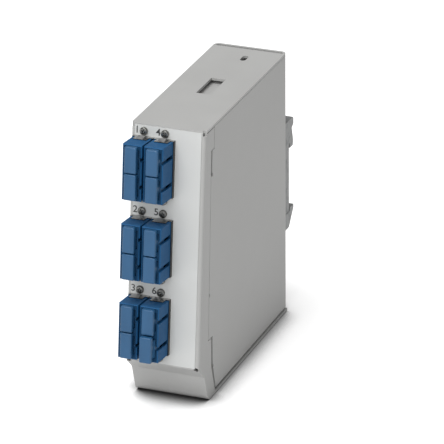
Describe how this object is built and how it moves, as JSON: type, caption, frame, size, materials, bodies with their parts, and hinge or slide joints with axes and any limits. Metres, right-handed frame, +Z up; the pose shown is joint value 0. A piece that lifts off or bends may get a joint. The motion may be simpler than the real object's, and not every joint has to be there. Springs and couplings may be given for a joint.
{
  "type": "din rail fibre box",
  "caption": "Narrow folded sheet metal fibre splice box for a 35 mm rail, with duplex adapters and dust caps on a leaning front panel and a splice tray inside.",
  "frame": {"origin": "middle of the underside of the folded box, half way between its top front edge and its back", "axes": "+X across the box towards the plain side of the label, +Z up along the height; the adapters look along -Y and the rail is behind, at +Y"},
  "size_m": [0.036, 0.1463, 0.134],
  "materials": {
    "grey_coat": "fine powder coat, light grey",
    "label_plate": "bright satin plate, blank",
    "adapter_blue": "moulded, semi gloss blue",
    "cap_blue": "moulded, semi gloss blue",
    "clip_steel": "bright spring steel",
    "screw_steel": "zinc plated",
    "spring_steel": "drawn wire",
    "foot_metal": "matt extruded, as delivered",
    "zirconia": "fired, white",
    "brass_hex": "turned, plain",
    "tray_plastic": "moulded, light grey",
    "lid_clear": "clear moulded lid",
    "comb_plastic": "soft black moulding"
  },
  "bodies": {
    "box": {"chassis": "grey_coat", "cover": "grey_coat", "front_label": "label_plate", "adapter_1": "adapter_blue", "adapter_2": "adapter_blue", "adapter_3": "adapter_blue", "adapter_4": "adapter_blue", "adapter_5": "adapter_blue", "adapter_6": "adapter_blue", "adapter_clip_1": "clip_steel", "adapter_clip_2": "clip_steel", "adapter_clip_3": "clip_steel", "adapter_clip_4": "clip_steel", "adapter_clip_5": "clip_steel", "adapter_clip_6": "clip_steel", "adapter_screws": "screw_steel", "split_sleeves": "zirconia", "rail_foot": "foot_metal", "latch_spring": "spring_steel", "foot_screws": "screw_steel", "base_screws": "screw_steel", "tray_bracket": "grey_coat", "tray_standoffs": "brass_hex", "splice_tray": "tray_plastic", "tray_lid": "lid_clear", "splice_comb": "comb_plastic", "tray_screws": "screw_steel", "strain_bar": "grey_coat"},
    "latch": {"rail_latch": "foot_metal"},
    "cap_1_upper": {"dust_cap_1_upper": "cap_blue"},
    "cap_1_lower": {"dust_cap_1_lower": "cap_blue"},
    "cap_2_upper": {"dust_cap_2_upper": "cap_blue"},
    "cap_2_lower": {"dust_cap_2_lower": "cap_blue"},
    "cap_3_upper": {"dust_cap_3_upper": "cap_blue"},
    "cap_3_lower": {"dust_cap_3_lower": "cap_blue"},
    "cap_4_upper": {"dust_cap_4_upper": "cap_blue"},
    "cap_4_lower": {"dust_cap_4_lower": "cap_blue"},
    "cap_5_upper": {"dust_cap_5_upper": "cap_blue"},
    "cap_5_lower": {"dust_cap_5_lower": "cap_blue"},
    "cap_6_upper": {"dust_cap_6_upper": "cap_blue"},
    "cap_6_lower": {"dust_cap_6_lower": "cap_blue"}
  },
  "joints": [
    {"name": "cap_1_upper_pull", "type": "slide", "parent": "box", "child": "cap_1_upper", "axis": [0, -0.9945, 0.1045], "range_m": [0, 0.012]},
    {"name": "cap_1_lower_pull", "type": "slide", "parent": "box", "child": "cap_1_lower", "axis": [0, -0.9945, 0.1045], "range_m": [0, 0.012]},
    {"name": "cap_2_upper_pull", "type": "slide", "parent": "box", "child": "cap_2_upper", "axis": [0, -0.9945, 0.1045], "range_m": [0, 0.012]},
    {"name": "cap_2_lower_pull", "type": "slide", "parent": "box", "child": "cap_2_lower", "axis": [0, -0.9945, 0.1045], "range_m": [0, 0.012]},
    {"name": "cap_3_upper_pull", "type": "slide", "parent": "box", "child": "cap_3_upper", "axis": [0, -0.9945, 0.1045], "range_m": [0, 0.012]},
    {"name": "cap_3_lower_pull", "type": "slide", "parent": "box", "child": "cap_3_lower", "axis": [0, -0.9945, 0.1045], "range_m": [0, 0.012]},
    {"name": "cap_4_upper_pull", "type": "slide", "parent": "box", "child": "cap_4_upper", "axis": [0, -0.9945, 0.1045], "range_m": [0, 0.012]},
    {"name": "cap_4_lower_pull", "type": "slide", "parent": "box", "child": "cap_4_lower", "axis": [0, -0.9945, 0.1045], "range_m": [0, 0.012]},
    {"name": "cap_5_upper_pull", "type": "slide", "parent": "box", "child": "cap_5_upper", "axis": [0, -0.9945, 0.1045], "range_m": [0, 0.012]},
    {"name": "cap_5_lower_pull", "type": "slide", "parent": "box", "child": "cap_5_lower", "axis": [0, -0.9945, 0.1045], "range_m": [0, 0.012]},
    {"name": "cap_6_upper_pull", "type": "slide", "parent": "box", "child": "cap_6_upper", "axis": [0, -0.9945, 0.1045], "range_m": [0, 0.012]},
    {"name": "cap_6_lower_pull", "type": "slide", "parent": "box", "child": "cap_6_lower", "axis": [0, -0.9945, 0.1045], "range_m": [-0.002, 0.01]},
    {"name": "latch_slide", "type": "slide", "parent": "box", "child": "latch", "axis": [0, 0, -1], "range_m": [0, 0.0035], "stiffness_N_per_m": 900, "springref_m": -0.003, "deforming": ["latch_spring"]}
  ]
}
